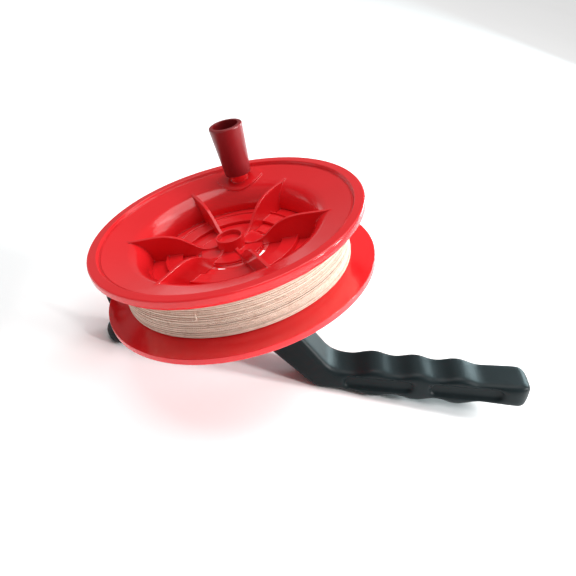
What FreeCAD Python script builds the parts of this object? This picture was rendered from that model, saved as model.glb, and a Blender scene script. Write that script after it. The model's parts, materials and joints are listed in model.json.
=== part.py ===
import FreeCAD, Part
import math
import os

from FreeCAD import Vector

# Kite line winder: a two-part spool on a hand grip, with a crank knob and a line guide.
#
# The pieces are drawn in the spool's own frame. There z is the axle, z = 0 is the seam between
# the two spool halves, and x points towards the grip. At the end each piece is turned and moved
# into the frame that it is handed in with: the winder standing on a table, on the foot under
# its line guide and on its knee, with +Z up and the origin under the middle of its box.
# All sizes are in millimetres and all angles in degrees.

# Spool: the two flanges and the drum between them
FLANGE_R = 80.0
SPOOL_HEIGHT = 40.0
LIP_WIDTH = 6.4
LIP_HEIGHT = 1.5
LIP_ROUND = 0.6
GROOVE_WIDTH = 0.8
GROOVE_DEPTH = 0.5
WALL = 2.6
SKIRT_HEIGHT = 7.0
SKIRT_WALL = 2.2
SKIRT_TAPER = 2.6
DRUM_INNER_R = 48.0
SHOULDER_R = 15.0
SHOULDER_LIFT = 0.13

# Spool: the web at the seam, with its ring, disc and ribs
WEB_THICK = 2.0
RING_INNER_R = 29.6
RING_WIDTH = 9.6
LOWER_RING_INNER_R = 21.5
BEAD_WIDTH = 0.9
BEAD_HEIGHT = 1.0
DISC_R = 18.4
RIB_COUNT = 6
RIB_THICK = 2.0
RIB_HUB_HEIGHT = 4.0
RIB_DISC_HEIGHT = 4.4
RIB_KNEE_INSET = 3.6
RIB_KNEE_HEIGHT = 10.2
RIB_CREST_HEIGHT = 14.2
RIB_OUTER_HEIGHT = 15.2
RIB_TIP_R = 67.0
RIB_TIP_DROP = 0.4
PEG_COUNT = 3
PEG_R = 1.2
PEG_LENGTH = 1.5
SPOOL_TURN = -2.0

# Hub, bushes and axle
HUB_R = 8.0
HUB_BORE_R = 6.9
HUB_TOP_RISE = 8.8
HUB_OVERLAP = 0.5
AXLE_R = 3.0
BUSH_WALL = 2.0
BUSH_LENGTH = 7.2
BUSH_SPACING = 0.4
HEAD_R = 5.25
HEAD_HEIGHT = 3.3
KEY_ACROSS = 4.0
KEY_DEPTH = 2.0
AXLE_LENGTH = 34.0
WASHER_THICK = 0.8
HEAD_WASHER_R = 6.2
ARM_WASHER_R = 9.5
NUT_ACROSS = 10.0
NUT_HEIGHT = 5.0
NUT_DEPTH = 8.0
HUB_CAP_THICK = 1.5
HUB_CAP_INSET = 2.8

# Line on the drum: the outer layer and the turns below it
LINE_D = 0.8
LINE_OUTER_R = 66.8

# Crank knob, on its post on the upper flange
KNOB_ORBIT_R = 62.4
KNOB_ANGLE = 90.0
KNOB_HEIGHT = 31.8
KNOB_BASE_R = 8.3
KNOB_TOP_R = 10.6
KNOB_WALL = 2.5
KNOB_FLOOR = 4.0
KNOB_LIP_ROUND = 0.9
CRANK_BOSS_R = 5.6
PAD_HALF_LENGTH = 15.0
PAD_HALF_WIDTH = 9.6
PAD_RISE = 0.9
POST_R = 4.0
CRANK_SCREW_R = 1.5
CRANK_SCREW_LENGTH = 8.0
CRANK_HEAD_R = 3.2
CRANK_HEAD_HEIGHT = 2.2
CRANK_WASHER_R = 5.6
DRIVER_SLOT_WIDTH = 0.8
DRIVER_SLOT_DEPTH = 1.2

# Handle: arm under the spool, neck and grip
HANDLE_WIDTH = 26.0
ARM_DROP = 5.0
ARM_DEPTH = 22.0
ARM_OVERHANG = 12.0
ARM_END_DEPTH = 11.0
BOSS_R = 10.0
EDGE_ROUND = 4.0
NECK_INSIDE_X = -28.0
NECK_INSIDE_DROP = 3.0
NECK_INSIDE_ROUND = 4.0
NECK_TOP_X = 12.0
NECK_ROUND = 8.0
NECK_FOOT = (41.5, -91.8)
NECK_FOOT_ROUND = 20.0
KNEE = (27.8, -102.4)
KNEE_ROUND = 6.5
CROTCH_X = -7.0
CROTCH_ROUND = 16.0
GRIP_START = (36.0, -98.2)
GRIP_SLOPE = 17.7
GRIP_LENGTH = 132.0
GRIP_VALLEY = 6.9
GRIP_CREST = 11.3
GRIP_FIRST_VALLEY = 17.0
GRIP_WAVES = 3
GRIP_PITCH = 27.0
GRIP_WAVE_ROUND = 18.0
GRIP_END_HALF = 8.8
GRIP_END_ROUND = 7.2
GRIP_CORNER_ROUND = 11.0
POCKET_DEPTH = 2.6
POCKET_WIDTH = 8.4
POCKET_RAISE = 0.8
POCKETS = ((10.9, 55.4), (65.7, 113.6))
FOOT_FLAT = 7.0

# Line guide on the arm's far end
GUIDE_THICK = 2.4
GUIDE_WIDTH = 6.0
GUIDE_HEAD_R = 5.4
EYE_R = 2.5
EYELET_WALL = 1.2
EYELET_LENGTH = 4.4
EYELET_LIP = 0.6
TENON_THICK = 8.0
TENON_WIDTH = 10.0
TENON_FLOOR = 1.0
GUIDE_SCREW_R = 1.5
GUIDE_SCREW_LENGTH = 7.0
GUIDE_HEAD_SCREW_R = 3.1
GUIDE_HEAD_HEIGHT = 2.4
GUIDE_HEAD_INSET = 1.8

# Clearances
RUNNING_FIT = 0.05
KNOB_FIT = 0.1
PLAY = 0.2
FIT = 0.1
HOLE_FIT = 0.15
THREAD_FIT = 0.02
HEAD_FIT = 0.3
RIM_GAP = 0.8

# How far a cutting shape runs past the face that it cuts, and how close two edges or points
# are to count as one
PAST = 1.0
NEAR = 0.01
SAME_POINT = 1e-6

# Places worked out from the sizes above
RIM_TOP = SPOOL_HEIGHT / 2
FACE_Z = RIM_TOP - LIP_HEIGHT
GROOVE_Z = FACE_Z - WALL
LIP_INNER_R = FLANGE_R - LIP_WIDTH
SHOULDER_X = DRUM_INNER_R + SHOULDER_R
SHOULDER_Z = SHOULDER_LIFT
SHOULDER_TO_LIP = math.hypot(LIP_INNER_R - SHOULDER_X, FACE_Z - SHOULDER_Z)
LIP_DIRECTION = math.atan2(FACE_Z - SHOULDER_Z, LIP_INNER_R - SHOULDER_X)
FACE_SLOPE = math.degrees(LIP_DIRECTION - math.asin(SHOULDER_R / SHOULDER_TO_LIP))
SLOPE_COS = math.cos(math.radians(FACE_SLOPE))
SLOPE_TAN = math.tan(math.radians(FACE_SLOPE))
DRUM_R = DRUM_INNER_R + WALL
RING_OUTER_R = RING_INNER_R + RING_WIDTH
BUSH_R = AXLE_R + RUNNING_FIT + BUSH_WALL
BUSH_TOP = -RIM_TOP + 2 * BUSH_LENGTH + BUSH_SPACING
HEAD_WASHER_Z = BUSH_TOP + PLAY
HEAD_Z = HEAD_WASHER_Z + WASHER_THICK
ARM_WASHER_Z = -RIM_TOP - PLAY - WASHER_THICK
ARM_TOP = -RIM_TOP - ARM_DROP
ARM_BOTTOM = ARM_TOP - ARM_DEPTH
NUT_Z = ARM_WASHER_Z - NUT_DEPTH - NUT_HEIGHT
KNOB_Z = RIM_TOP + PLAY
POST_TOP = KNOB_Z + KNOB_FLOOR + PLAY
GUIDE_X = -FLANGE_R - RIM_GAP - GUIDE_THICK / 2
ARM_END = -FLANGE_R - ARM_OVERHANG
ARM_SLOPE = (ARM_DEPTH - ARM_END_DEPTH) / (HANDLE_WIDTH / 2 - ARM_END)
SCREW_SEAT = ARM_BOTTOM + GUIDE_HEAD_INSET + GUIDE_HEAD_HEIGHT
TENON_LOW = SCREW_SEAT + TENON_FLOOR
CORE_R = LINE_OUTER_R - LINE_D - FIT
COS_SLOPE = math.cos(math.radians(GRIP_SLOPE))
SIN_SLOPE = math.sin(math.radians(GRIP_SLOPE))
Z_AXIS = Vector(0, 0, 1)
X_AXIS = Vector(1, 0, 0)
Y_AXIS = Vector(0, 1, 0)
CENTRE = Vector(0, 0, 0)


def tube(outer, inner, low, high, x=0.0, y=0.0):
    """An upright ring between two heights."""
    base = Vector(x, y, low)
    wall = Part.makeCylinder(outer, high - low, base)
    return wall.cut(Part.makeCylinder(inner, high - low, base))


def disc(radius, low, high, x=0.0, y=0.0):
    """An upright cylinder between two heights."""
    return Part.makeCylinder(radius, high - low, Vector(x, y, low))


def corner(before, point, after, radius):
    """The start, middle and end of the arc that rounds one corner of an outline."""
    to_before = (before - point).normalize()
    to_after = (after - point).normalize()
    half = to_before.getAngle(to_after) / 2
    reach = radius / math.tan(half)
    inward = (to_before + to_after).normalize()
    middle = point + inward * (radius / math.sin(half) - radius)
    return point + to_before * reach, middle, point + to_after * reach


def rounded_wire(points, radii):
    """A closed outline of straight runs whose corners are rounded by the radii given."""
    count = len(points)
    arcs = []
    for i, radius in enumerate(radii):
        arcs.append(corner(points[i - 1], points[i], points[(i + 1) % count], radius))
    edges = []
    for i, (start, middle, end) in enumerate(arcs):
        edges.append(Part.Arc(start, middle, end).toShape())
        following = arcs[(i + 1) % count][0]
        if end.distanceToPoint(following) > SAME_POINT:
            edges.append(Part.LineSegment(end, following).toShape())
    return Part.Wire(edges)


def chain(points):
    """Straight edges from each point to the next."""
    return [Part.LineSegment(a, b).toShape() for a, b in zip(points, points[1:])]


def around(edges):
    """The solid that a closed outline in the xz plane sweeps about the z axis."""
    return Part.Face(Part.Wire(edges)).revolve(CENTRE, Z_AXIS, 360)


def quarter(centre_x, centre_z, radius, start, end):
    """An arc in the xz plane, between two angles from the x axis."""
    marks = []
    for angle in (start, (start + end) / 2, end):
        turn = math.radians(angle)
        marks.append(Vector(centre_x + radius * math.cos(turn), 0, centre_z + radius * math.sin(turn)))
    return Part.Arc(*marks).toShape()


def slope_z(x, radius):
    """Height, at a distance x from the axle, of the sloped face that touches a shoulder arc."""
    return SHOULDER_Z + radius / SLOPE_COS + (x - SHOULDER_X) * SLOPE_TAN


def shoulder(radius):
    """The shoulder's arc from the drum's wall up to the sloped face."""
    return quarter(SHOULDER_X, SHOULDER_Z, radius, 180, 90 + FACE_SLOPE)


def shoulder_end(radius):
    """Where the shoulder's arc meets the sloped face."""
    x = SHOULDER_X - radius * math.sin(math.radians(FACE_SLOPE))
    return Vector(x, 0, slope_z(x, radius))


def half_shell():
    """Flange, shoulder and half of the drum wall, as one revolved wall."""
    inner_r = SHOULDER_R - WALL
    level_x = SHOULDER_X + (GROOVE_Z - slope_z(SHOULDER_X, inner_r)) / SLOPE_TAN
    drum = [Vector(DRUM_R, 0, SHOULDER_Z), Vector(DRUM_R, 0, 0), Vector(DRUM_INNER_R, 0, 0)]
    drum.append(Vector(DRUM_INNER_R, 0, SHOULDER_Z))
    face = [
        shoulder_end(SHOULDER_R),
        Vector(LIP_INNER_R, 0, FACE_Z),
        Vector(LIP_INNER_R + LIP_ROUND, 0, RIM_TOP),
        Vector(FLANGE_R - LIP_ROUND, 0, RIM_TOP),
        Vector(FLANGE_R, 0, RIM_TOP - LIP_ROUND),
        Vector(FLANGE_R, 0, GROOVE_Z),
        Vector(level_x, 0, GROOVE_Z),
        shoulder_end(inner_r),
    ]
    shell = around(chain(drum) + [shoulder(SHOULDER_R)] + chain(face) + [shoulder(inner_r)])
    groove_outer = LIP_INNER_R - GROOVE_WIDTH / 2
    low = slope_z(groove_outer, SHOULDER_R) - GROOVE_DEPTH
    groove = tube(groove_outer, groove_outer - GROOVE_WIDTH, low, RIM_TOP)
    return shell.cut(groove)


def rim_skirt():
    """The wall that hangs from the upper flange's edge, a little narrower at its foot."""
    foot_z = RIM_TOP - SKIRT_HEIGHT
    outline = [
        Vector(FLANGE_R, 0, RIM_TOP - LIP_HEIGHT),
        Vector(FLANGE_R - SKIRT_TAPER, 0, foot_z),
        Vector(FLANGE_R - SKIRT_TAPER - SKIRT_WALL, 0, foot_z),
        Vector(FLANGE_R - SKIRT_WALL, 0, RIM_TOP - LIP_HEIGHT),
    ]
    return around(chain(outline + outline[:1]))


def web(ring_inner):
    """The ring and the inner disc at the seam, with a bead on the ring's outer edge."""
    ring = tube(RING_OUTER_R, ring_inner, 0, WEB_THICK)
    bead = tube(RING_OUTER_R, RING_OUTER_R - BEAD_WIDTH, WEB_THICK, WEB_THICK + BEAD_HEIGHT)
    return ring.fuse(bead).fuse(tube(DISC_R, HUB_R - HUB_OVERLAP, 0, WEB_THICK))


def rib():
    """One upright rib along x: low at the hub, a crest over the ring, then out to the flange."""
    shell_x = DRUM_INNER_R + WALL / 2
    shell_r = SHOULDER_R - WALL / 2
    start = HUB_R - HUB_OVERLAP
    tip = Vector(RIB_TIP_R, 0, slope_z(RIB_TIP_R, SHOULDER_R) - RIB_TIP_DROP)
    edge = Part.BSplineCurve()
    edge.interpolate([
        Vector(start, 0, RIB_HUB_HEIGHT),
        Vector(DISC_R, 0, RIB_DISC_HEIGHT),
        Vector(RING_INNER_R - RIB_KNEE_INSET, 0, RIB_KNEE_HEIGHT),
        Vector((RING_INNER_R + RING_OUTER_R) / 2, 0, RIB_CREST_HEIGHT),
        Vector(DRUM_INNER_R, 0, RIB_OUTER_HEIGHT),
        tip,
    ])
    low = chain([tip, Vector(RIB_TIP_R, 0, slope_z(RIB_TIP_R, shell_r)), shoulder_end(shell_r)])
    foot = chain([
        Vector(shell_x, 0, SHOULDER_Z),
        Vector(shell_x, 0, 0),
        Vector(start, 0, 0),
        Vector(start, 0, RIB_HUB_HEIGHT),
    ])
    blade = Part.Face(Part.Wire([edge.toShape()] + low + [shoulder(shell_r)] + foot))
    blade.translate(Vector(0, -RIB_THICK / 2, 0))
    return blade.extrude(Vector(0, RIB_THICK, 0))


def spool_half(ring_inner):
    """What both halves share, drawn as the upper one."""
    half = half_shell().fuse(web(ring_inner))
    for i in range(RIB_COUNT):
        blade = rib()
        blade.rotate(CENTRE, Z_AXIS, i * 360.0 / RIB_COUNT)
        half = half.fuse(blade)
    return half


def pegs(radius, low, high):
    """The pegs, or the holes for them, midway between ribs on the web ring."""
    orbit = RING_INNER_R + RING_WIDTH / 2
    shapes = []
    for i in range(PEG_COUNT):
        angle = math.radians(180.0 / RIB_COUNT + i * 360.0 / PEG_COUNT)
        shapes.append(disc(radius, low, high, orbit * math.cos(angle), orbit * math.sin(angle)))
    return shapes


def knob_place(z):
    """A point on the crank knob's axis."""
    angle = math.radians(KNOB_ANGLE)
    return Vector(KNOB_ORBIT_R * math.cos(angle), KNOB_ORBIT_R * math.sin(angle), z)


def crank_pad():
    """The low pad with two pointed ends round the knob's foot, its round boss, and its post."""
    reach = PAD_HALF_LENGTH
    ends = (Vector(-reach, 0, 0), Vector(reach, 0, 0))
    near = Part.Arc(ends[0], Vector(0, -PAD_HALF_WIDTH, 0), ends[1]).toShape()
    far = Part.Arc(ends[1], Vector(0, PAD_HALF_WIDTH, 0), ends[0]).toShape()
    pad = Part.Face(Part.Wire([near, far])).extrude(Vector(0, 0, RIM_TOP))
    pad.rotate(CENTRE, Z_AXIS, KNOB_ANGLE - 90)
    pad.translate(knob_place(0))
    pad = pad.common(raised_face(PAD_RISE))
    place = knob_place(0)
    pad = pad.fuse(disc(CRANK_BOSS_R, SHOULDER_Z, RIM_TOP, place.x, place.y))
    pad = pad.fuse(disc(POST_R, SHOULDER_Z, POST_TOP, place.x, place.y))
    return pad.cut(winding_space(0, FLANGE_R + PAST))


def raised_face(rise):
    """The room below a surface that stands a little above the shoulder and the sloped face."""
    radius = SHOULDER_R + rise
    wall_x = SHOULDER_X - radius
    outer = [shoulder_end(radius), Vector(LIP_INNER_R, 0, slope_z(LIP_INNER_R, radius))]
    outer += [Vector(LIP_INNER_R, 0, 0), Vector(wall_x, 0, 0), Vector(wall_x, 0, SHOULDER_Z)]
    return around([shoulder(radius)] + chain(outer))


def winding_space(gap, reach):
    """The room between the flanges out to a radius, drawn in by a gap at the walls."""
    radius = SHOULDER_R - WALL - gap
    wall_x = SHOULDER_X - radius
    top = min(slope_z(reach, radius), GROOVE_Z - gap)
    bend_x = SHOULDER_X + (top - slope_z(SHOULDER_X, radius)) / SLOPE_TAN
    upper = [shoulder_end(radius), Vector(bend_x, 0, top)]
    if reach > bend_x + SAME_POINT:
        upper.append(Vector(reach, 0, top))
    upper.append(Vector(reach, 0, 0))
    upper += [Vector(wall_x, 0, 0), Vector(wall_x, 0, SHOULDER_Z)]
    half = around([shoulder(radius)] + chain(upper))
    return half.fuse(half.mirror(CENTRE, Z_AXIS)).removeSplitter()


def spool_top_half():
    """Upper half: deep rim, open hub tube, knob post and three pegs into the lower half."""
    half = spool_half(RING_INNER_R).fuse(rim_skirt()).fuse(crank_pad())
    half = half.fuse(disc(HUB_R, 0, HUB_TOP_RISE))
    half = half.cut(disc(HUB_BORE_R, -PAST, HUB_TOP_RISE + PAST))
    for peg in pegs(PEG_R, -PEG_LENGTH, WEB_THICK / 2):
        half = half.fuse(peg)
    place = knob_place(0)
    pilot_low = POST_TOP + WASHER_THICK - CRANK_SCREW_LENGTH - FIT
    pilot_r = CRANK_SCREW_R + FIT / 2
    return half.cut(disc(pilot_r, pilot_low, POST_TOP + PAST, place.x, place.y))


def spool_bottom_half():
    """Lower half: plain flange, a web that reaches the drum, and the hub with both bushes."""
    half = spool_half(LOWER_RING_INNER_R).fuse(disc(HUB_R, 0, RIM_TOP))
    half = half.fuse(tube(DRUM_INNER_R + WALL / 2, RING_OUTER_R - BEAD_WIDTH, 0, WEB_THICK))
    half = half.cut(disc(BUSH_R, -PAST, RIM_TOP + PAST))
    half = half.cut(disc(HUB_BORE_R, -PAST, -BUSH_TOP))
    half = half.mirror(CENTRE, Z_AXIS)
    for hole in pegs(PEG_R + FIT, -PEG_LENGTH - FIT, PAST):
        half = half.cut(hole)
    return half


def bush(low):
    """A plain bush pressed into the hub, running on the axle."""
    return tube(BUSH_R, AXLE_R + RUNNING_FIT, low, low + BUSH_LENGTH)


def hexagon(across, low, high):
    """An upright six-sided prism."""
    radius = across / math.sqrt(3)
    points = []
    for i in range(7):
        angle = math.radians(60 * i + 30)
        points.append(Vector(radius * math.cos(angle), radius * math.sin(angle), low))
    return Part.Face(Part.makePolygon(points)).extrude(Vector(0, 0, high - low))


def axle_bolt():
    """Button-head bolt that the spool turns on, with a six-sided key socket."""
    shank = disc(AXLE_R, HEAD_Z - AXLE_LENGTH, HEAD_Z)
    head = disc(HEAD_R, HEAD_Z, HEAD_Z + HEAD_HEIGHT)
    head_top = HEAD_Z + HEAD_HEIGHT
    rim = [e for e in head.Edges if e.BoundBox.ZMin > head_top - NEAR]
    head = head.makeFillet(HEAD_HEIGHT / 2, rim)
    key = hexagon(KEY_ACROSS, head_top - KEY_DEPTH, head_top + PAST)
    return shank.fuse(head).cut(key)


def axle_nut():
    """Six-sided nut held in a slot in the arm."""
    top = NUT_Z + NUT_HEIGHT
    return hexagon(NUT_ACROSS, NUT_Z, top).cut(disc(AXLE_R + THREAD_FIT, NUT_Z, top))


def hub_cap():
    """Plug pressed into the hub's open end, over the axle's head."""
    top = HUB_TOP_RISE - HUB_CAP_INSET
    return disc(HUB_BORE_R, top - HUB_CAP_THICK, top)


def line_core():
    """The turns below the outer layer, as one ring that fills the drum."""
    return winding_space(FIT, CORE_R)


def line_winding():
    """The outer layer of line, as a plain sleeve on the turns below."""
    return winding_space(FIT, LINE_OUTER_R).cut(disc(CORE_R, -RIM_TOP, RIM_TOP))


def crank_sleeve():
    """Hollow tapered knob that turns on its post, with a floor at its foot."""
    place = knob_place(KNOB_Z)
    body = Part.makeCone(KNOB_BASE_R, KNOB_TOP_R, KNOB_HEIGHT, place)
    rim = [e for e in body.Edges if e.BoundBox.ZMin > KNOB_Z + KNOB_HEIGHT - NEAR]
    body = body.makeFillet(KNOB_LIP_ROUND, rim)
    hollow_height = KNOB_HEIGHT - KNOB_FLOOR
    taper = (KNOB_TOP_R - KNOB_BASE_R) / KNOB_HEIGHT
    low_r = KNOB_BASE_R - KNOB_WALL + taper * KNOB_FLOOR
    high_r = KNOB_TOP_R - KNOB_WALL
    hollow = Part.makeCone(low_r, high_r, hollow_height, knob_place(KNOB_Z + KNOB_FLOOR))
    body = body.cut(hollow)
    bore_top = KNOB_Z + KNOB_FLOOR + PAST
    return body.cut(disc(POST_R + KNOB_FIT, KNOB_Z - PAST, bore_top, place.x, place.y))


def crank_washer():
    """Washer on the post's top that keeps the knob on."""
    place = knob_place(0)
    hole = CRANK_SCREW_R + FIT
    return tube(CRANK_WASHER_R, hole, POST_TOP, POST_TOP + WASHER_THICK, place.x, place.y)


def crank_screw():
    """Pan-head screw down the middle of the post."""
    place = knob_place(0)
    seat = POST_TOP + WASHER_THICK
    top = seat + CRANK_HEAD_HEIGHT
    shank = disc(CRANK_SCREW_R, seat - CRANK_SCREW_LENGTH, seat, place.x, place.y)
    head = disc(CRANK_HEAD_R, seat, top, place.x, place.y)
    rim = [e for e in head.Edges if e.BoundBox.ZMin > top - NEAR]
    head = head.makeFillet(CRANK_HEAD_HEIGHT / 2, rim)
    return cross_slot(shank.fuse(head), place, top, 1)


def cross_slot(screw, place, face_z, way):
    """Cut a cross for the driver into a screw's head, from the side that it is turned from."""
    low = face_z - DRIVER_SLOT_DEPTH if way > 0 else face_z
    for size_x, size_y in ((CRANK_HEAD_R, DRIVER_SLOT_WIDTH), (DRIVER_SLOT_WIDTH, CRANK_HEAD_R)):
        corner_point = Vector(place.x - size_x / 2, place.y - size_y / 2, low)
        screw = screw.cut(Part.makeBox(size_x, size_y, DRIVER_SLOT_DEPTH, corner_point))
    return screw


def grip_point(along, out):
    """A point of the grip's side outline, from its distance along and out from its centre."""
    x = GRIP_START[0] + along * COS_SLOPE + out * SIN_SLOPE
    z = GRIP_START[1] - along * SIN_SLOPE + out * COS_SLOPE
    return Vector(x, 0, z)


def grip_marks():
    """The waves' corners along one side of the grip, as distances along and out."""
    marks = []
    for i in range(GRIP_WAVES):
        valley = GRIP_FIRST_VALLEY + i * GRIP_PITCH
        marks.append((valley, GRIP_VALLEY))
        marks.append((valley + GRIP_PITCH / 2, GRIP_CREST))
    marks.append((GRIP_FIRST_VALLEY + GRIP_WAVES * GRIP_PITCH, GRIP_VALLEY))
    return marks


def neck_and_grip():
    """Neck and grip in one thick outline, with soft edges along both sides."""
    inside_z = ARM_TOP - NECK_INSIDE_DROP
    points = [Vector(NECK_INSIDE_X, 0, inside_z), Vector(NECK_TOP_X, 0, inside_z)]
    radii = [NECK_INSIDE_ROUND, NECK_ROUND]
    points.append(Vector(NECK_FOOT[0], 0, NECK_FOOT[1]))
    radii.append(NECK_FOOT_ROUND)
    marks = grip_marks()
    for along, out in marks:
        points.append(grip_point(along, out))
        radii.append(GRIP_WAVE_ROUND)
    for out in (GRIP_END_HALF, -GRIP_END_HALF):
        points.append(grip_point(GRIP_LENGTH, out))
        radii.append(GRIP_END_ROUND)
    for along, out in reversed(marks):
        points.append(grip_point(along, -out))
        radii.append(GRIP_WAVE_ROUND)
    points += [Vector(KNEE[0], 0, KNEE[1]), Vector(CROTCH_X, 0, ARM_BOTTOM)]
    points.append(Vector(NECK_INSIDE_X, 0, ARM_BOTTOM))
    radii += [KNEE_ROUND, CROTCH_ROUND, NECK_INSIDE_ROUND]
    face = Part.Face(rounded_wire(points, radii))
    face.translate(Vector(0, -HANDLE_WIDTH / 2, 0))
    solid = face.extrude(Vector(0, HANDLE_WIDTH, 0))
    sides = [e for e in solid.Edges if e.BoundBox.YLength < NEAR]
    return solid.makeFillet(EDGE_ROUND, sides)


def grip_frame(shape):
    """Turn and move a shape drawn along x at the origin onto the grip's centre line."""
    shape.rotate(CENTRE, Y_AXIS, GRIP_SLOPE)
    shape.translate(Vector(GRIP_START[0], 0, GRIP_START[1]))
    return shape


def end_blank():
    """A block that rounds the grip's end in plan and leaves the rest alone."""
    back = 120.0
    high = 160.0
    low_corner = Vector(-back, -HANDLE_WIDTH / 2, -high / 2)
    block = Part.makeBox(back + GRIP_LENGTH, HANDLE_WIDTH, high, low_corner)
    upright = [e for e in block.Edges if e.BoundBox.ZLength > high - NEAR]
    ends = [e for e in upright if e.BoundBox.XMin > GRIP_LENGTH - NEAR]
    return grip_frame(block.makeFillet(GRIP_CORNER_ROUND, ends))


def pocket(start, end, side):
    """A shallow recess with round ends on one side of the grip."""
    radius = POCKET_WIDTH / 2
    low = side * (HANDLE_WIDTH / 2 - POCKET_DEPTH)
    high = side * (HANDLE_WIDTH / 2 + PAST)
    bottom = min(low, high)
    deep = abs(high - low)
    run = end - start - 2 * radius
    box = Part.makeBox(run, deep, POCKET_WIDTH, Vector(start + radius, bottom, POCKET_RAISE - radius))
    for x in (start + radius, end - radius):
        box = box.fuse(Part.makeCylinder(radius, deep, Vector(x, bottom, POCKET_RAISE), Y_AXIS))
    return grip_frame(box.removeSplitter())


def arm_top_at(x):
    """Height of the arm's top, which slopes down towards the guide."""
    return ARM_TOP - ARM_SLOPE * (HANDLE_WIDTH / 2 - x)


def soft_rims(shape):
    """Round every edge of an upright shape that isn't upright itself."""
    return shape.makeFillet(EDGE_ROUND, [e for e in shape.Edges if e.BoundBox.XLength > NEAR])


def arm():
    """The arm under the spool: round at both ends, sloping to the guide, with a hub and a boss."""
    radius = HANDLE_WIDTH / 2
    far = ARM_END + radius
    slab = Part.makeBox(-far, HANDLE_WIDTH, ARM_DEPTH + PAST, Vector(far, -radius, ARM_BOTTOM))
    for x in (far, 0):
        slab = slab.fuse(disc(radius, ARM_BOTTOM, ARM_TOP + PAST, x))
    start = radius + PAST
    end = ARM_END - PAST
    above = [
        Vector(start, -radius, arm_top_at(start)),
        Vector(end, -radius, arm_top_at(end)),
        Vector(end, -radius, ARM_TOP + 2 * PAST),
        Vector(start, -radius, ARM_TOP + 2 * PAST),
    ]
    wedge = Part.Face(Part.makePolygon(above + above[:1])).extrude(Vector(0, HANDLE_WIDTH, 0))
    slab = soft_rims(slab.removeSplitter().cut(wedge))
    slab = slab.fuse(soft_rims(disc(radius, ARM_BOTTOM, ARM_TOP)))
    return slab.fuse(disc(BOSS_R, ARM_TOP - PAST, ARM_WASHER_Z))


def rest_angle():
    """How far the axle leans when the winder stands on the foot and the knee, and the foot."""
    foot = Vector(ARM_END + FOOT_FLAT, 0, ARM_BOTTOM)
    before = Vector(CROTCH_X, 0, ARM_BOTTOM)
    after = grip_point(GRIP_FIRST_VALLEY, -GRIP_VALLEY)
    start, middle, end = corner(before, Vector(KNEE[0], 0, KNEE[1]), after, KNEE_ROUND)
    centre = Part.Arc(start, middle, end).toShape().Curve.Center
    span = centre - foot
    return -math.degrees(math.atan2(span.z, span.x) - math.asin(KNEE_ROUND / span.Length)), foot


def under_table():
    """Everything below the table that the winder stands on."""
    angle, foot = rest_angle()
    size = 600.0
    block = Part.makeBox(size, size, size, Vector(-size / 2, -size / 2, -size))
    block.rotate(CENTRE, Y_AXIS, angle)
    block.translate(foot)
    return block


def nut_slot():
    """A slot from the arm's far side in to the axle, with a six-sided end."""
    wide = NUT_ACROSS + 2 * FIT
    low = NUT_Z - FIT
    high = NUT_Z + NUT_HEIGHT + FIT
    slot = Part.makeBox(wide, HANDLE_WIDTH, high - low, Vector(-wide / 2, 0, low))
    return slot.fuse(hexagon(wide, low, high))


def handle_body():
    """Arm, neck and grip, moulded in one piece."""
    body = arm().fuse(neck_and_grip().common(end_blank()))
    for start, end in POCKETS:
        for side in (1, -1):
            body = body.cut(pocket(start, end, side))
    body = body.cut(disc(AXLE_R + HOLE_FIT, HEAD_Z - AXLE_LENGTH - PAST, ARM_TOP + ARM_DROP))
    body = body.cut(nut_slot())
    slot_x = TENON_THICK + 2 * FIT
    slot_y = TENON_WIDTH + 2 * FIT
    corner_point = Vector(GUIDE_X - slot_x / 2, -slot_y / 2, TENON_LOW - FIT)
    body = body.cut(Part.makeBox(slot_x, slot_y, ARM_TOP - TENON_LOW, corner_point))
    body = body.cut(disc(GUIDE_HEAD_SCREW_R + HEAD_FIT, ARM_BOTTOM - PAST, SCREW_SEAT, GUIDE_X))
    body = body.cut(disc(GUIDE_SCREW_R + HOLE_FIT, SCREW_SEAT - PAST, ARM_TOP, GUIDE_X))
    return body.cut(under_table()).removeSplitter()


def line_guide():
    """Upright with a round eye for the line, let into the arm's end by a tenon."""
    back_x = GUIDE_X - GUIDE_THICK / 2
    head = Part.makeCylinder(GUIDE_HEAD_R, GUIDE_THICK, Vector(back_x, 0, 0), X_AXIS)
    post_corner = Vector(back_x, -GUIDE_WIDTH / 2, TENON_LOW)
    post = Part.makeBox(GUIDE_THICK, GUIDE_WIDTH, -TENON_LOW, post_corner)
    tenon_x = GUIDE_X - TENON_THICK / 2
    tenon_top = arm_top_at(tenon_x)
    tenon_corner = Vector(tenon_x, -TENON_WIDTH / 2, TENON_LOW)
    tenon = Part.makeBox(TENON_THICK, TENON_WIDTH, tenon_top - TENON_LOW, tenon_corner)
    guide = head.fuse(post).fuse(tenon)
    eye_start = Vector(back_x - PAST, 0, 0)
    eye = Part.makeCylinder(EYE_R + EYELET_WALL, GUIDE_THICK + 2 * PAST, eye_start, X_AXIS)
    screw_hole = disc(GUIDE_SCREW_R + FIT / 2, TENON_LOW - PAST, screw_top() + FIT, GUIDE_X)
    return guide.cut(eye).cut(screw_hole).removeSplitter()


def screw_top():
    """Height of the guide screw's tip inside the tenon."""
    return SCREW_SEAT + GUIDE_SCREW_LENGTH


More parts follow.
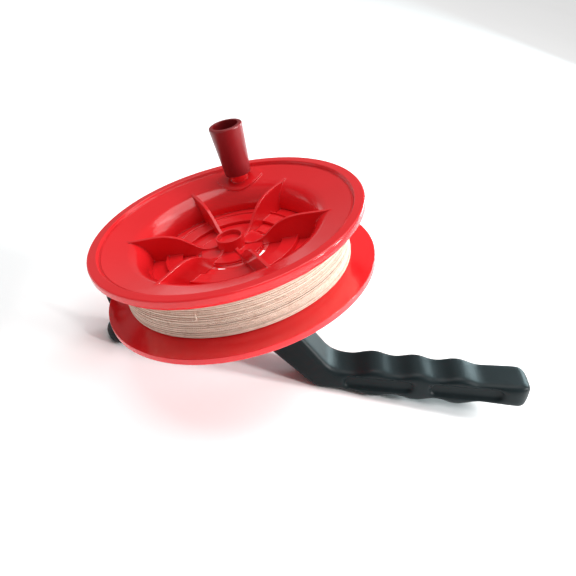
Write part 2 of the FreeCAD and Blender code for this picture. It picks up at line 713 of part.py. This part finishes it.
def guide_eyelet():
    """Metal ring with rolled lips, pressed into the guide's eye."""
    outer = EYE_R + EYELET_WALL
    half = EYELET_LENGTH / 2
    lip_start = GUIDE_THICK / 2
    ring = Part.makeCylinder(outer, EYELET_LENGTH, Vector(-half, 0, 0), X_AXIS)
    for low, high in ((-half, -lip_start), (lip_start, half)):
        ring = ring.fuse(Part.makeCylinder(outer + EYELET_LIP, high - low, Vector(low, 0, 0), X_AXIS))
    ring = ring.cut(Part.makeCylinder(EYE_R, EYELET_LENGTH, Vector(-half, 0, 0), X_AXIS))
    ring = ring.removeSplitter()
    flat = [e for e in ring.Edges if e.BoundBox.XLength < NEAR]
    lips = [e for e in flat if abs(e.BoundBox.XMin) > half - NEAR]
    ring = ring.makeFillet(EYELET_LIP / 2, lips)
    ring.translate(Vector(GUIDE_X, 0, 0))
    return ring


def guide_screw():
    """Screw from under the arm into the guide's tenon."""
    shank = disc(GUIDE_SCREW_R, SCREW_SEAT, screw_top(), GUIDE_X)
    head = disc(GUIDE_HEAD_SCREW_R, ARM_BOTTOM + GUIDE_HEAD_INSET, SCREW_SEAT, GUIDE_X)
    return cross_slot(shank.fuse(head), Vector(GUIDE_X, 0, 0), ARM_BOTTOM + GUIDE_HEAD_INSET, -1)


def turned(shape):
    """A piece of the spool, turned about the axle to where the spool stands at rest."""
    shape.rotate(CENTRE, Z_AXIS, SPOOL_TURN)
    return shape


def pieces():
    """Every piece by its name, in the spool's own frame."""
    arm_washer_top = ARM_WASHER_Z + WASHER_THICK
    return {
        "handle_body": handle_body(),
        "line_guide": line_guide(),
        "guide_eyelet": guide_eyelet(),
        "guide_screw": guide_screw(),
        "arm_washer": tube(ARM_WASHER_R, AXLE_R + HOLE_FIT, ARM_WASHER_Z, arm_washer_top),
        "axle_bolt": axle_bolt(),
        "axle_nut": axle_nut(),
        "head_washer": tube(HEAD_WASHER_R, AXLE_R + HOLE_FIT, HEAD_WASHER_Z, HEAD_Z),
        "spool_top_half": turned(spool_top_half()),
        "spool_bottom_half": turned(spool_bottom_half()),
        "lower_bush": bush(-RIM_TOP),
        "upper_bush": bush(BUSH_TOP - BUSH_LENGTH),
        "hub_cap": hub_cap(),
        "line_core": turned(line_core()),
        "line_winding": turned(line_winding()),
        "crank_sleeve": turned(crank_sleeve()),
        "crank_washer": turned(crank_washer()),
        "crank_screw": turned(crank_screw()),
    }


def stand(shapes):
    """Lean every piece as the winder leans on a table, and put the origin under its middle."""
    angle, foot = rest_angle()
    box = FreeCAD.BoundBox()
    for shape in shapes.values():
        shape.rotate(CENTRE, Y_AXIS, -angle)
        box.add(shape.optimalBoundingBox(False))
    turn = FreeCAD.Rotation(Y_AXIS, -angle)
    floor = turn.multVec(foot).z
    shift = Vector(-(box.XMin + box.XMax) / 2, -(box.YMin + box.YMax) / 2, -floor)
    for shape in shapes.values():
        shape.translate(shift)
    return turn, shift


def place_of(turn, shift, point):
    """Where a point of the spool's frame lies in the standing frame, as plain numbers."""
    moved = turn.multVec(point) + shift
    return [round(v, 3) for v in moved]


def main():
    os.makedirs("parts", exist_ok=True)
    shapes = pieces()
    turn, shift = stand(shapes)
    for name, shape in shapes.items():
        solids = shape.Solids
        print(name, "solids", len(solids), "valid", shape.isValid(), "volume", round(shape.Volume, 1))
        shape.exportStep("parts/" + name + ".step")
    print("lean", round(rest_angle()[0], 4), "axle", [round(v, 6) for v in turn.multVec(Z_AXIS)])
    print("axle at the seam", place_of(turn, shift, CENTRE))
    knob = FreeCAD.Rotation(Z_AXIS, SPOOL_TURN).multVec(knob_place(KNOB_Z))
    print("knob foot", place_of(turn, shift, knob))
    print("eye", place_of(turn, shift, Vector(GUIDE_X, 0, 0)))
    print("foot", place_of(turn, shift, rest_angle()[1]))


main()
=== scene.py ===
import json
import math
import random

import bmesh
import bpy
import numpy as np
from mathutils import Matrix, Vector


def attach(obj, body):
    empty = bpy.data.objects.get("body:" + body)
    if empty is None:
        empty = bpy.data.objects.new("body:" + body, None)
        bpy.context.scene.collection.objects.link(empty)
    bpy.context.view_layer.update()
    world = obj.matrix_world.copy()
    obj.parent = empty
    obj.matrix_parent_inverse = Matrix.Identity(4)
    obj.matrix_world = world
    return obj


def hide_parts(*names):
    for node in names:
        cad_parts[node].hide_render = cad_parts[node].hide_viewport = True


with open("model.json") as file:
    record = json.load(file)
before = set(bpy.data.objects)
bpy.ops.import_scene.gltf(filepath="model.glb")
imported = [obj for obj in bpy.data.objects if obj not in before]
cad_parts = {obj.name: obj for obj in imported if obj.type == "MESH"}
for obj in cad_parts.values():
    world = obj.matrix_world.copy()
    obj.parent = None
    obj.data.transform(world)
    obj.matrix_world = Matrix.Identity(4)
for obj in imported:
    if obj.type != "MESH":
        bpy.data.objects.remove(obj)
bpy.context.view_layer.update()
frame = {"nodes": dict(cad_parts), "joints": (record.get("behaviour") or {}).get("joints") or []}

# How the winder stands: it rests on the foot under its line guide and on its knee, so the axle
# leans. What is on the spool is placed from the axle, in millimetres from the seam between the
# spool's halves, with z along the axle and x towards the grip.
spin = next(j for j in frame["joints"] if j["name"] == "spool_spin")
seam = Vector(spin["pos_m"])
axle = Vector(spin["axis"]).normalized()
grip_way = Vector((0, 1, 0)).cross(axle).normalized()
MM = 0.001
spool_seat = Matrix.Translation(seam) @ Matrix((grip_way, (0, 1, 0), axle)).transposed().to_4x4()


def at(x, y, z):
    """A point given in millimetres from the seam, as a place in the scene."""
    return spool_seat @ Vector((x * MM, y * MM, z * MM))


def add_object(name, mesh, body):
    """Put a finished mesh into the scene, riding on one of the winder's bodies."""
    piece = bpy.data.objects.new(name, mesh)
    bpy.context.scene.collection.objects.link(piece)
    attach(piece, body)
    return piece


# Camera: the winder is seen from the front and above, tilted so that the grip runs off to the
# right. The eye's place and the two directions are taken from the seam, as lengths are above.
EYE = (86.9, -349.3, 189.5)
LOOK = Vector((-0.1471, 0.8344, -0.5311))
UPWARD = Vector((0.1615, 0.5500, 0.8194))
FOCAL_PIXELS = 700.0
FRAME_PIXELS = 576.0
SENSOR = 36.0
NEAREST = 0.01

lens = bpy.data.cameras.new("photo_lens")
lens.sensor_width = SENSOR
lens.lens = FOCAL_PIXELS / FRAME_PIXELS * SENSOR
lens.clip_start = NEAREST
camera = bpy.data.objects.new("photo_camera", lens)
bpy.context.scene.collection.objects.link(camera)
turn = spool_seat.to_3x3()
back = -(turn @ LOOK).normalized()
side = (turn @ UPWARD).cross(back).normalized()
camera_turn = Matrix((side, back.cross(side), back)).transposed().to_4x4()
camera.matrix_world = Matrix.Translation(at(*EYE)) @ camera_turn
bpy.context.scene.camera = camera


# Floor: a plain sheet of matt white paper, far wider than the winder, which stands loose on it. A
# faint fibre in the paper hardly shows. The sheet's half width is in metres.
FLOOR_HALF = 6.0
FLOOR_CORNERS = ((-1, -1), (1, -1), (1, 1), (-1, 1))
PAPER_DULL = (0.88, 0.88, 0.88, 1)
PAPER_BRIGHT = (0.93, 0.93, 0.93, 1)
FIBRE_SCALE = 40.0
FIBRE_DETAIL = 4.0
PAPER_ROUGHNESS = 0.95
PAPER_SHINE = 0.1

sheet = bpy.data.meshes.new("floor")
corners = [(x * FLOOR_HALF, y * FLOOR_HALF, 0) for x, y in FLOOR_CORNERS]
sheet.from_pydata(corners, [], [(0, 1, 2, 3)])
floor = bpy.data.objects.new("floor", sheet)
bpy.context.scene.collection.objects.link(floor)
paper = bpy.data.materials.new("pale_paper")
paper.use_nodes = True
fibre = paper.node_tree.nodes.new("ShaderNodeTexNoise")
fibre.inputs["Scale"].default_value = FIBRE_SCALE
fibre.inputs["Detail"].default_value = FIBRE_DETAIL
paper_tone = paper.node_tree.nodes.new("ShaderNodeValToRGB")
paper_tone.color_ramp.elements[0].color = PAPER_DULL
paper_tone.color_ramp.elements[1].color = PAPER_BRIGHT
paper_shader = paper.node_tree.nodes["Principled BSDF"]
paper.node_tree.links.new(fibre.outputs["Fac"], paper_tone.inputs["Fac"])
paper.node_tree.links.new(paper_tone.outputs["Color"], paper_shader.inputs["Base Color"])
paper_shader.inputs["Roughness"].default_value = PAPER_ROUGHNESS
paper_shader.inputs["Specular IOR Level"].default_value = PAPER_SHINE
floor.data.materials.append(paper)


# Light: a window of two panes to the right draws the paired glints on the red shoulder, one low
# down at the back right shines on the grip's waves, and a lamp and a soft sky light the rest from
# above. Places and sizes are in metres.
PANES = ((0.95, -0.34, 0.60), (0.95, 0.02, 0.60))
PANE_SIZE = (0.16, 0.32)
PANE_POWER = 10.0
BACK_WINDOW = (0.80, 0.95, 0.36)
BACK_SIZE = (0.5, 0.3)
BACK_POWER = 9.0
BACK_TINT = (0.72, 0.95, 1.0)
LAMP = (0.14, 0.16, 0.60)
LAMP_SIZE = (0.35, 0.35)
LAMP_POWER = 1.0
SKY_WAY = (0.12, -0.12, -0.95)
SKY_POWER = 1.7
SKY_SPREAD = math.radians(50)
ROOM_TINT = (1.0, 0.99, 0.98, 1)
ROOM_STRENGTH = 0.28


def soft_light(name, place, size, power):
    """A rectangular area light turned towards the seam."""
    data = bpy.data.lights.new(name, "AREA")
    data.shape = "RECTANGLE"
    data.size, data.size_y = size
    data.energy = power
    lamp = bpy.data.objects.new(name, data)
    lamp.location = place
    lamp.rotation_euler = (seam - Vector(place)).to_track_quat("-Z", "Y").to_euler()
    bpy.context.scene.collection.objects.link(lamp)
    return data


for number, place in enumerate(PANES):
    soft_light(f"window_{number}", place, PANE_SIZE, PANE_POWER)
back_window = soft_light("back_window", BACK_WINDOW, BACK_SIZE, BACK_POWER)
back_window.color = BACK_TINT
soft_light("lamp", LAMP, LAMP_SIZE, LAMP_POWER)
overhead = bpy.data.lights.new("overhead", "SUN")
overhead.energy = SKY_POWER
overhead.angle = SKY_SPREAD
sky = bpy.data.objects.new("overhead", overhead)
sky.rotation_euler = Vector(SKY_WAY).to_track_quat("-Z", "Y").to_euler()
bpy.context.scene.collection.objects.link(sky)
room = bpy.data.worlds.new("room")
room.use_nodes = True
room.node_tree.nodes["Background"].inputs["Color"].default_value = ROOM_TINT
room.node_tree.nodes["Background"].inputs["Strength"].default_value = ROOM_STRENGTH
bpy.context.scene.world = room
bpy.context.scene.view_settings.view_transform = "Standard"


# Spool: two red halves moulded from glossy plastic, joined at the seam under the line, with six
# upright ribs, an open web and a hub tube, and a plug in the hub of the same plastic. Edges that
# the mould left are a little round. Lengths are in millimetres, and scales are per metre.
EDGE_SOFT = 0.35
SHARP_ANGLE = math.radians(30)
FLAT_ANGLE = math.radians(0.6)
SAME_POINT = 0.002
DRIFT_SCALE = 22.0
SCUFF_SCALE = 110.0
SCUFF_DULLING = 0.2
GRAIN_STRENGTH = 0.5
COAT_ROUGHNESS = 0.08


def effect(name, sockets_in, sockets_out):
    """An empty group for an effect that several finishes share, with its first and last node."""
    group = bpy.data.node_groups.new(name, "ShaderNodeTree")
    for label, kind, value in sockets_in:
        socket = group.interface.new_socket(label, in_out="INPUT", socket_type="NodeSocket" + kind)
        socket.default_value = value
    for label, kind in sockets_out:
        group.interface.new_socket(label, in_out="OUTPUT", socket_type="NodeSocket" + kind)
    return group, group.nodes.new("NodeGroupInput"), group.nodes.new("NodeGroupOutput")


def noise(tree, where, scale=1.0, detail=2.0, rough=0.5):
    """A noise texture in the piece's own space."""
    texture = tree.nodes.new("ShaderNodeTexNoise")
    texture.inputs["Scale"].default_value = scale
    texture.inputs["Detail"].default_value = detail
    texture.inputs["Roughness"].default_value = rough
    tree.links.new(where.outputs["Object"], texture.inputs["Vector"])
    return texture


def spread(tree, value, low, high, to_low=0.0, to_high=1.0):
    """Stretch part of a value's range over another range."""
    node = tree.nodes.new("ShaderNodeMapRange")
    node.inputs["From Min"].default_value = low
    node.inputs["From Max"].default_value = high
    node.inputs["To Min"].default_value = to_low
    node.inputs["To Max"].default_value = to_high
    tree.links.new(value, node.inputs["Value"])
    return node.outputs["Result"]


def moulded_skin():
    """Moulded plastic: slow drifts of tone from the flow, rare dull scuffs and a fine grain."""
    inputs = [
        ("Tone", "Color", (0.5, 0.5, 0.5, 1)),
        ("Deep tone", "Color", (0.2, 0.2, 0.2, 1)),
        ("Gloss", "Float", 0.3),
        ("Grain scale", "Float", 900.0),
        ("Scuffs", "Float", 0.5),
    ]
    outputs = [("Tone", "Color"), ("Roughness", "Float"), ("Height", "Float")]
    group, first, last = effect("moulded_skin", inputs, outputs)
    where = group.nodes.new("ShaderNodeTexCoord")
    drift = noise(group, where, DRIFT_SCALE, detail=3.0)
    scuff = noise(group, where, SCUFF_SCALE, detail=6.0, rough=0.7)
    grain = noise(group, where)
    group.links.new(first.outputs["Grain scale"], grain.inputs["Scale"])
    tone = group.nodes.new("ShaderNodeMix")
    tone.data_type = "RGBA"
    group.links.new(spread(group, drift.outputs["Fac"], 0.3, 0.7), tone.inputs["Factor"])
    group.links.new(first.outputs["Deep tone"], tone.inputs["A"])
    group.links.new(first.outputs["Tone"], tone.inputs["B"])
    group.links.new(tone.outputs["Result"], last.inputs["Tone"])
    weighed = group.nodes.new("ShaderNodeMath")
    weighed.operation = "MULTIPLY_ADD"
    dulled = spread(group, scuff.outputs["Fac"], 0.55, 0.8, 0.0, SCUFF_DULLING)
    group.links.new(dulled, weighed.inputs[0])
    group.links.new(first.outputs["Scuffs"], weighed.inputs[1])
    group.links.new(first.outputs["Gloss"], weighed.inputs[2])
    group.links.new(weighed.outputs["Value"], last.inputs["Roughness"])
    group.links.new(grain.outputs["Fac"], last.inputs["Height"])
    return group


moulded = moulded_skin()


def plastic(name, tone, deep, gloss, grain_scale, grain_depth, scuffs, shine=0.5, coat=0.0):
    """A moulded plastic of one colour, with its own gloss, grain and scuffs."""
    material = bpy.data.materials.new(name)
    material.use_nodes = True
    make, link = material.node_tree.nodes.new, material.node_tree.links.new
    shader = material.node_tree.nodes["Principled BSDF"]
    skin = make("ShaderNodeGroup")
    skin.node_tree = moulded
    skin.inputs["Tone"].default_value = (*tone, 1)
    skin.inputs["Deep tone"].default_value = (*deep, 1)
    skin.inputs["Gloss"].default_value = gloss
    skin.inputs["Grain scale"].default_value = grain_scale
    skin.inputs["Scuffs"].default_value = scuffs
    bump = make("ShaderNodeBump")
    bump.inputs["Distance"].default_value = grain_depth * MM
    bump.inputs["Strength"].default_value = GRAIN_STRENGTH
    link(skin.outputs["Height"], bump.inputs["Height"])
    link(bump.outputs["Normal"], shader.inputs["Normal"])
    link(skin.outputs["Tone"], shader.inputs["Base Color"])
    link(skin.outputs["Roughness"], shader.inputs["Roughness"])
    shader.inputs["Specular IOR Level"].default_value = shine
    shader.inputs["Coat Weight"].default_value = coat
    shader.inputs["Coat Roughness"].default_value = COAT_ROUGHNESS
    return material


def finish_node(name, material):
    """Give a CAD piece its finish, with smooth shading but for its sharp edges."""
    piece = frame["nodes"][name]
    piece.data.materials.clear()
    piece.data.materials.append(material)
    for polygon in piece.data.polygons:
        polygon.use_smooth = True
        polygon.material_index = 0
    piece.data.set_sharp_from_angle(angle=SHARP_ANGLE)


def soft_edged(name, node, material):
    """A copy of one of the spool's CAD halves, with its sharp edges rounded."""
    work = bmesh.new()
    work.from_mesh(frame["nodes"][node].data)
    bmesh.ops.remove_doubles(work, verts=work.verts, dist=SAME_POINT * MM)
    bmesh.ops.dissolve_limit(work, angle_limit=FLAT_ANGLE, verts=work.verts, edges=work.edges)
    mesh = bpy.data.meshes.new(name)
    work.to_mesh(mesh)
    work.free()
    for polygon in mesh.polygons:
        polygon.use_smooth = True
    mesh.materials.append(material)
    piece = add_object(name, mesh, "spool")
    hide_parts(node)
    soft = piece.modifiers.new("soft_edges", "BEVEL")
    soft.width = EDGE_SOFT * MM
    soft.segments = 2
    soft.limit_method = "ANGLE"
    soft.angle_limit = SHARP_ANGLE
    soft.use_clamp_overlap = False
    even = piece.modifiers.new("even_faces", "WEIGHTED_NORMAL")
    even.keep_sharp = False


red = plastic(
    "red_gloss", tone=(0.80, 0.018, 0.024), deep=(0.74, 0.014, 0.018), gloss=0.16,
    grain_scale=700.0, grain_depth=0.012, scuffs=0.4, shine=0.4, coat=0.1,
)
soft_edged("upper_half", "spool_top_half", red)
soft_edged("lower_half", "spool_bottom_half", red)
finish_node("hub_cap", red)


# Crank knob: a hollow tapered tube in a deeper red, free to turn on its post, and kept on by a
# washer and a screw at the bottom of its bore.
deep_red = plastic(
    "deep_red", tone=(0.24, 0.010, 0.013), deep=(0.18, 0.007, 0.010), gloss=0.3,
    grain_scale=900.0, grain_depth=0.02, scuffs=0.5, shine=0.45,
)
finish_node("crank_sleeve", deep_red)


# Handle: arm, neck and grip moulded in one piece of satin black plastic with a blue-green cast.
# Its edges and finger waves are worn soft. The line guide is let into the end of the arm.
SKIN_STEP = 0.7
SMOOTH_PASSES = 36
SMOOTH_FACTOR = 0.5
GRIP_FALL = math.radians(17.7)
TIP_LENGTH = 12.0
TIP_HALF = 3.5
TIP_CUTS = 12
TIP_SLACK = 0.05


def round_tip(mesh):
    """Ease the corners of the grip's end a little, as it is seen from above."""
    along = spool_seat.to_3x3() @ Vector((math.cos(GRIP_FALL), 0, -math.sin(GRIP_FALL)))
    work = bmesh.new()
    work.from_mesh(mesh)
    reach = max(vert.co.dot(along) for vert in work.verts)
    levels = np.linspace(0, TIP_LENGTH * MM, TIP_CUTS + 1)
    for level in levels[1:]:
        everything = work.verts[:] + work.edges[:] + work.faces[:]
        bmesh.ops.bisect_plane(work, geom=everything, plane_co=along * (reach - level), plane_no=along)
    depths = np.array([reach - vert.co.dot(along) for vert in work.verts])
    sides = np.array([abs(vert.co.y) for vert in work.verts])
    widths = np.array([sides[abs(depths - level) < TIP_SLACK * MM].max() for level in levels])
    arc = np.sqrt(1 - (1 - levels / levels[-1]) ** 2)
    slim = (TIP_HALF * MM + (widths[-1] - TIP_HALF * MM) * arc) / widths
    for vert, depth in zip(work.verts, depths):
        vert.co.y *= min(1.0, np.interp(depth, levels, slim))
    work.to_mesh(mesh)
    work.free()


black = plastic(
    "satin_black", tone=(0.006, 0.012, 0.014), deep=(0.003, 0.007, 0.008), gloss=0.42,
    grain_scale=1400.0, grain_depth=0.05, scuffs=0.8, shine=0.15,
)
finish_node("line_guide", black)
grip = add_object("grip_and_arm", frame["nodes"]["handle_body"].data.copy(), "handle")
round_tip(grip.data)
grip.data.materials.clear()
grip.data.materials.append(black)
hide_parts("handle_body")
skinned = grip.modifiers.new("even_skin", "REMESH")
skinned.mode = "VOXEL"
skinned.voxel_size = SKIN_STEP * MM
skinned.use_smooth_shade = True
worn = grip.modifiers.new("worn_soft", "SMOOTH")
worn.factor = SMOOTH_FACTOR
worn.iterations = SMOOTH_PASSES


# Bushes and washer: natural acetal and nylon, turned from rod. The two bushes are pressed into the
# hub and run on the axle bolt, and the washer keeps the hub off the arm.
nylon = plastic(
    "natural_nylon", tone=(0.62, 0.60, 0.54), deep=(0.52, 0.50, 0.45), gloss=0.4,
    grain_scale=1200.0, grain_depth=0.03, scuffs=0.6,
)
for name in ("lower_bush", "upper_bush", "arm_washer"):
    finish_node(name, nylon)


# Fasteners and eyelet: zinc-plated steel. The bolt and its nut carry the spool, one screw holds the
# knob's washer and another the line guide, and the eyelet is pressed into the guide's hole.
STEEL_DULL = (0.48, 0.48, 0.50, 1)
STEEL_BRIGHT = (0.70, 0.70, 0.71, 1)
STEEL_ROUGHNESS = (0.22, 0.42)
BLOTCH_SCALE = 300.0
STEEL_NODES = (
    "guide_eyelet", "guide_screw", "axle_bolt", "axle_nut", "head_washer", "crank_washer", "crank_screw",
)


def plated_steel():
    """Zinc-plated steel with faint blotches that dull it here and there."""
    material = bpy.data.materials.new("zinc_steel")
    material.use_nodes = True
    tree = material.node_tree
    shader = tree.nodes["Principled BSDF"]
    blotch = noise(tree, tree.nodes.new("ShaderNodeTexCoord"), BLOTCH_SCALE, detail=5.0)
    tone = tree.nodes.new("ShaderNodeValToRGB")
    tone.color_ramp.elements[0].color = STEEL_DULL
    tone.color_ramp.elements[1].color = STEEL_BRIGHT
    tree.links.new(blotch.outputs["Fac"], tone.inputs["Fac"])
    tree.links.new(tone.outputs["Color"], shader.inputs["Base Color"])
    dulled = spread(tree, blotch.outputs["Fac"], 0.0, 1.0, *STEEL_ROUGHNESS)
    tree.links.new(dulled, shader.inputs["Roughness"])
    shader.inputs["Metallic"].default_value = 1.0
    return material


steel = plated_steel()
for name in STEEL_NODES:
    finish_node(name, steel)


# Line: off-white twisted cord, wound on by hand as one unbroken length. Close turns go up, two
# sparser passes cross them, down and part of the way up again, and the end is tucked in on the
# near side. A ridged bed stands for the turns below. Lengths are in millimetres.
LINE_D = 0.7
LINE_OUTER_R = 66.8
WOUND_HALF = 13.5
# Painted shade: the cord is coloured darker in the grooves between its strands and lighter on their
# crowns, following the same wave that raises them.
CORD_GROOVE_SHADE = (0.66, 0.50, 0.39, 1)
CORD_BRIGHT = (0.93, 0.78, 0.66, 1)
# Random patches where the cord's colour is multiplied a little darker.
CORD_PATCH_TINT = (0.72, 0.60, 0.52, 1)
CORD_ROUGHNESS = 0.75
CORD_SHINE = 0.25
CORD_SHEEN = 0.2
PATCH_SCALE = 380.0
STRAND_SCALE = 0.6
STRAND_BEND = 1.5
STRAND_DETAIL = 2.0
STRAND_DEPTH = 0.12
STRAND_STRENGTH = 0.8


def cord_finish():
    """Twisted cord: slanting strands along the cord, their colour painted darker in the grooves between
    them as shade, and random patches that are a little darker.
    """
    material = bpy.data.materials.new("twisted_cord")
    material.use_nodes = True
    tree = material.node_tree
    make, link = tree.nodes.new, tree.links.new
    shader = tree.nodes["Principled BSDF"]
    along = make("ShaderNodeUVMap")
    along.uv_map = "along"
    lay = make("ShaderNodeTexWave")
    lay.bands_direction = "DIAGONAL"
    lay.inputs["Scale"].default_value = STRAND_SCALE
    lay.inputs["Distortion"].default_value = STRAND_BEND
    lay.inputs["Detail"].default_value = STRAND_DETAIL
    link(along.outputs["UV"], lay.inputs["Vector"])
    # Painted shade: the wave that raises the strands also colours them, darker in the grooves between
    # them.
    strand_shade = make("ShaderNodeValToRGB")
    strand_shade.color_ramp.elements[0].color = CORD_GROOVE_SHADE
    strand_shade.color_ramp.elements[1].color = CORD_BRIGHT
    link(lay.outputs["Fac"], strand_shade.inputs["Fac"])
    # Random patches, multiplied in to make the cord a little darker there.
    patch = noise(tree, make("ShaderNodeTexCoord"), PATCH_SCALE, detail=6.0, rough=0.75)
    patched = make("ShaderNodeMix")
    patched.data_type = "RGBA"
    patched.blend_type = "MULTIPLY"
    patched.inputs["B"].default_value = CORD_PATCH_TINT
    link(spread(tree, patch.outputs["Fac"], 0.5, 0.72), patched.inputs["Factor"])
    link(strand_shade.outputs["Color"], patched.inputs["A"])
    link(patched.outputs["Result"], shader.inputs["Base Color"])
    bump = make("ShaderNodeBump")
    bump.inputs["Distance"].default_value = STRAND_DEPTH * MM
    bump.inputs["Strength"].default_value = STRAND_STRENGTH
    link(lay.outputs["Fac"], bump.inputs["Height"])
    link(bump.outputs["Normal"], shader.inputs["Normal"])
    shader.inputs["Roughness"].default_value = CORD_ROUGHNESS
    shader.inputs["Specular IOR Level"].default_value = CORD_SHINE
    shader.inputs["Sheen Weight"].default_value = CORD_SHEEN
    return material


cord = cord_finish()

CLOSE_TURNS = 38
BACK_TURNS = 26
LAST_TURNS = 14
PASS_LIFT = 0.6 * LINE_D
CLIMB = 0.2
CLOSE_STRAY = 0.4
LOOSE_STRAY = 2.0
RIPPLE = 0.05
RIPPLE_PACE = 2.3
SEED = 7
WAVES = 9
WAVE_PACE = (0.3, 1.7)
WAVE_SIZE = (0.04, 0.14)
WANDER_PACE = 0.37
TURN_STEPS = 120
CORD_SIDES = 7
TUCK_ANGLE = 259.0
TUCK_HEIGHT = -1.5
TUCK = (
    (0.9, 0.1, 0.1), (1.5, 0.7, 0.35), (1.7, 2.0, 0.5),
    (1.7, 3.4, 0.4), (1.6, 4.5, -0.2), (1.5, 5.2, -1.2),
)

dice = random.Random(SEED)
waves = []
for wave in range(WAVES):
    waves.append((dice.uniform(*WAVE_PACE), dice.uniform(0, math.tau), dice.uniform(*WAVE_SIZE)))


def wander(turns):
    """How far the cord strays sideways from its steady climb, in millimetres."""
    along = turns * math.tau * WANDER_PACE
    return sum(size * math.sin(along * pace + start) for pace, start, size in waves)


def wound_route():
    """The cord's middle line, in millimetres from the seam: up in close turns, down, and up."""
    edge = WOUND_HALF - LINE_D / 2
    last = LAST_TURNS + TUCK_ANGLE / 360
    marks = np.cumsum([0, CLOSE_TURNS, BACK_TURNS, last])
    ends = (-edge, edge, -edge, TUCK_HEIGHT)
    first_r = LINE_OUTER_R - 3 * PASS_LIFT
    turns = np.arange(int(marks[-1] * TURN_STEPS) + 1) / TURN_STEPS
    stray = np.array([wander(turn) for turn in turns])
    stray *= np.interp(turns, (CLOSE_TURNS, CLOSE_TURNS + 1), (CLOSE_STRAY, LOOSE_STRAY))
    heights = np.clip(np.interp(turns, marks, ends) + stray, -edge, edge)
    climbs = [marks[1] - CLIMB, marks[1] + CLIMB, marks[2] - CLIMB, marks[2] + CLIMB]
    radii = first_r + PASS_LIFT * np.interp(turns, climbs, (0, 1, 1, 2))
    radii += RIPPLE * np.sin(turns * RIPPLE_PACE)
    angles = turns * math.tau
    return np.stack([radii * np.cos(angles), radii * np.sin(angles), heights], axis=1).tolist()


def tuck(start):
    """The cord's end: a short rise across the turns, then under them, in given steps."""
    x, y, z = start
    radius = math.hypot(x, y)
    angle = math.atan2(y, x)
    points = []
    for ahead, rise, lift in TUCK:
        turned = angle + ahead / radius
        reach = radius + lift
        points.append((reach * math.cos(turned), reach * math.sin(turned), z + rise))
    return points


def unit(rows):
    """The same directions, each with a length of one."""
    return rows / np.linalg.norm(rows, axis=1)[:, None]


def cord_rings(path):
    """The points of the cord's skin, in millimetres, with one ring for each point of its path."""
    onward = unit(np.gradient(path, axis=0))
    across = unit(np.cross(onward, unit(path * (1, 1, 0))))
    upright = np.cross(across, onward)
    angles = np.arange(CORD_SIDES) * math.tau / CORD_SIDES
    sideways = np.cos(angles)[None, :, None] * across[:, None]
    raised = np.sin(angles)[None, :, None] * upright[:, None]
    return (path[:, None] + LINE_D / 2 * (sideways + raised)).reshape(-1, 3)


def lay_along(mesh, path):
    """Lay the finish along the cord: its length runs in U, and its girth in V, in millimetres."""
    run = np.concatenate([[0], np.cumsum(np.linalg.norm(np.diff(path, axis=0), axis=1))])
    layer = mesh.uv_layers.new(name="along")
    facet = math.pi * LINE_D / CORD_SIDES
    for i in range((len(path) - 1) * CORD_SIDES):
        step, k = divmod(i, CORD_SIDES)
        spots = ((step, k), (step + 1, k), (step + 1, k + 1), (step, k + 1))
        for loop, (at_step, at_side) in zip(mesh.polygons[i].loop_indices, spots):
            layer.data[loop].uv = (run[at_step], at_side * facet)


def cord_mesh(name, path):
    """A closed tube round a path given in millimetres from the seam."""
    path = np.array(path)
    faces = []
    for i in range(len(path) - 1):
        here, ahead = i * CORD_SIDES, (i + 1) * CORD_SIDES
        for k in range(CORD_SIDES):
            after = (k + 1) % CORD_SIDES
            faces.append((here + k, ahead + k, ahead + after, here + after))
    last = (len(path) - 1) * CORD_SIDES
    faces.append(tuple(range(CORD_SIDES)))
    faces.append(tuple(last + k for k in reversed(range(CORD_SIDES))))
    mesh = bpy.data.meshes.new(name)
    mesh.from_pydata([at(*point) for point in cord_rings(path)], [], faces)
    for face in mesh.polygons:
        face.use_smooth = True
    lay_along(mesh, path)
    return mesh


route = wound_route()
route += tuck(route[-1])
winding = add_object("wound_line", cord_mesh("wound_line", route), "spool")
winding.data.materials.append(cord)
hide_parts("line_winding")


# Turns below: the rest of the same cord fills the drum under the outer turns. Only glimpses of it
# show between them, so it is one closed ring, with a ridge for each turn.
BED_INNER_R = 50.8
BED_INNER_HALF = 1.0
BED_OUTER_R = LINE_OUTER_R - 2.6 * LINE_D
BED_AROUND = 180
RIDGE = 0.4 * LINE_D
RIDGE_STEPS = 6


def ridged_bed():
    """The ring's mesh: an outline with ridges on its outer side, carried round the axle."""
    profile = []
    steps = int(2 * WOUND_HALF / LINE_D) * RIDGE_STEPS
    for i in range(steps + 1):
        height = -WOUND_HALF + 2 * WOUND_HALF * i / steps
        profile.append((BED_OUTER_R + RIDGE * abs(math.sin(math.pi * i / RIDGE_STEPS)), height))
    profile += [(BED_INNER_R, BED_INNER_HALF), (BED_INNER_R, -BED_INNER_HALF)]
    size = len(profile)
    verts = []
    faces = []
    for step in range(BED_AROUND):
        angle = step * math.tau / BED_AROUND
        verts += [at(r * math.cos(angle), r * math.sin(angle), z) for r, z in profile]
        here, ahead = step * size, (step + 1) % BED_AROUND * size
        for k in range(size):
            after = (k + 1) % size
            faces.append((here + k, ahead + k, ahead + after, here + after))
    mesh = bpy.data.meshes.new("line_bed")
    mesh.from_pydata(verts, [], faces)
    return mesh


bed = add_object("line_bed", ridged_bed(), "spool")
bed.data.materials.append(cord)
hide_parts("line_core")
